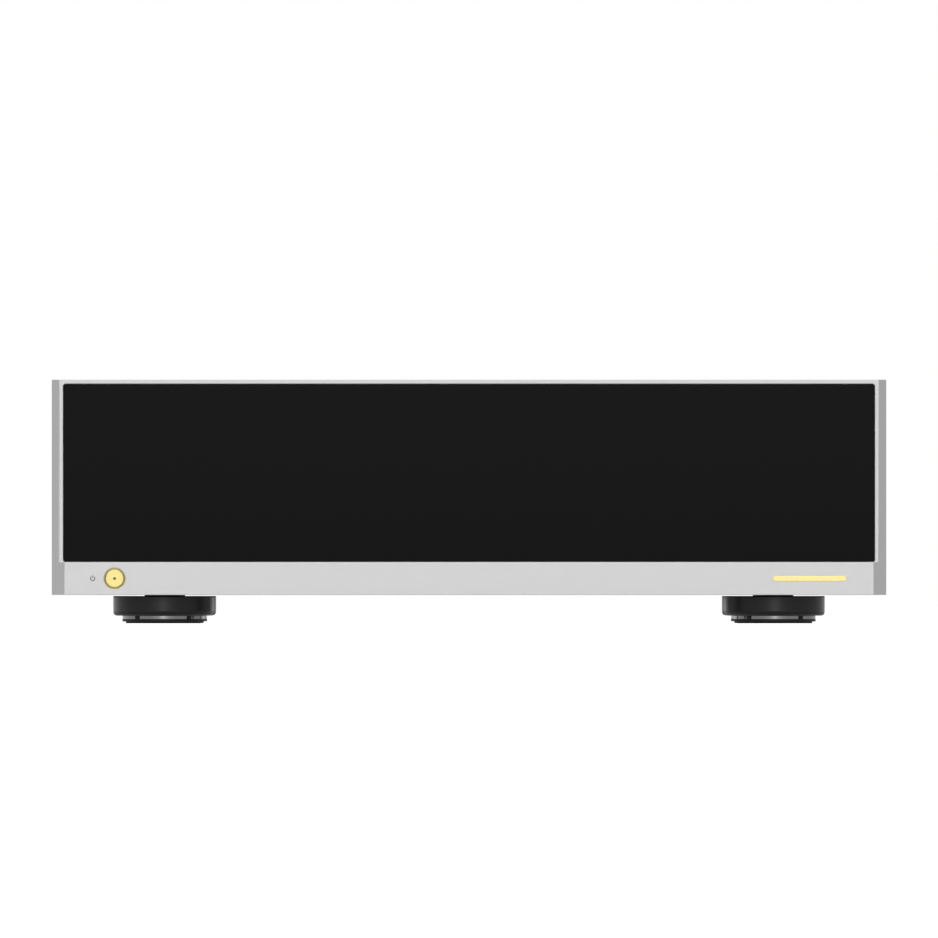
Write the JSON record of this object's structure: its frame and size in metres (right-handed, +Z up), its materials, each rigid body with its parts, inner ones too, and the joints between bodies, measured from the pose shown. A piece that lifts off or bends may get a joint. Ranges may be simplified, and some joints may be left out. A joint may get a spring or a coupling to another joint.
{
  "type": "digital audio transport",
  "caption": "Full-size digital audio transport: thick bevelled front panel, black glass, sprung power button, closed aluminium case on damped feet, rear sockets.",
  "frame": {"origin": "on the surface that it stands on, under the middle of its bounding box", "axes": "+X to the right seen from the front, the front faces -Y, +Z up"},
  "size_m": [0.43, 0.3606, 0.1256],
  "materials": {
    "case_aluminium": "fine satin anodised, silver",
    "black_glass": "polished black",
    "gold": "polished gold",
    "dark_gold": "satin dark gold",
    "lamp_clear": "smoked clear",
    "black_anodised": "black anodised, turned",
    "turned_steel": "turned",
    "damper_black": "moulded",
    "rubber_black": "moulded",
    "black_screws": "black oxide",
    "base_black": "fine textured black",
    "socket_black": "moulded black",
    "rocker_black": "gloss black",
    "nickel": "nickel plated",
    "gold_plate": "gold plated",
    "insulator_white": "moulded white",
    "board_green": "solder mask",
    "chip_black": "moulded",
    "heatsink_black": "black anodised, extruded",
    "can_steel": "drawn",
    "capacitor_sleeve": "shrink sleeve",
    "transformer_can": "black enamel",
    "divider_steel": "plated sheet",
    "display_black": "dark display",
    "ribbon_pale": "flat ribbon",
    "lead_brown": "insulated wire",
    "fuse_glass": "clear tube"
  },
  "bodies": {
    "chassis": {"front_panel": "case_aluminium", "front_glass": "black_glass", "left_side_panel": "case_aluminium", "right_side_panel": "case_aluminium", "top_cover": "case_aluminium", "base_plate": "base_black", "rear_panel": "case_aluminium", "cover_screws": "black_screws", "base_screws": "black_screws", "rear_screws": "black_screws", "display_panel": "display_black", "display_bracket": "divider_steel", "bracket_screws": "nickel", "display_ribbon": "ribbon_pale", "button_ring": "dark_gold", "button_board": "board_green", "button_switch": "chip_black", "main_board": "board_green", "power_board": "board_green", "board_supports": "nickel", "processor": "chip_black", "processor_heatsink": "heatsink_black", "clock_oscillators": "can_steel", "power_capacitors": "capacitor_sleeve", "regulator_heatsink": "heatsink_black", "transformer": "transformer_can", "transformer_mat": "rubber_black", "transformer_washer": "can_steel", "transformer_bolt": "can_steel", "divider": "divider_steel", "mains_inlet": "socket_black", "inlet_blades": "nickel", "mains_leads": "lead_brown", "switch_housing": "socket_black", "network_jack": "nickel", "usb_ports": "nickel", "i2s_port": "nickel", "optical_port": "socket_black", "coax_jack": "gold_plate", "coax_insulator": "insulator_white", "aes_connector": "nickel", "aes_pins": "gold_plate", "foot_plates": "turned_steel", "foot_posts": "damper_black", "foot_soles": "damper_black", "foot_pads": "rubber_black", "front_left_foot": "black_anodised", "front_right_foot": "black_anodised", "rear_left_foot": "black_anodised", "rear_right_foot": "black_anodised"},
    "button": {"power_button": "gold", "button_lamp": "lamp_clear", "switch_plunger": "chip_black"},
    "rocker": {"mains_rocker": "rocker_black"},
    "fuse_tray": {"fuse_drawer": "socket_black", "fuse": "fuse_glass"},
    "shutter": {"optical_shutter": "socket_black"}
  },
  "joints": [
    {"name": "button_press", "type": "slide", "parent": "chassis", "child": "button", "axis": [0, 1, 0], "range_m": [0, 0.0008], "stiffness_N_per_m": 300, "springref_m": -0.001},
    {"name": "rocker_tilt", "type": "hinge", "parent": "chassis", "child": "rocker", "pos_m": [-0.1414, 0.17065, 0.0516], "axis": [1, 0, 0], "range_deg": [0, 20]},
    {"name": "fuse_drawer_slide", "type": "slide", "parent": "chassis", "child": "fuse_tray", "axis": [0, 1, 0], "range_m": [0, 0.015]},
    {"name": "shutter_swing", "type": "hinge", "parent": "chassis", "child": "shutter", "pos_m": [0.0815, 0.16985, 0.04425], "axis": [-1, 0, 0], "range_deg": [0, 85], "stiffness_Nm_per_rad": 0.0001, "springref_deg": -17.19}
  ]
}
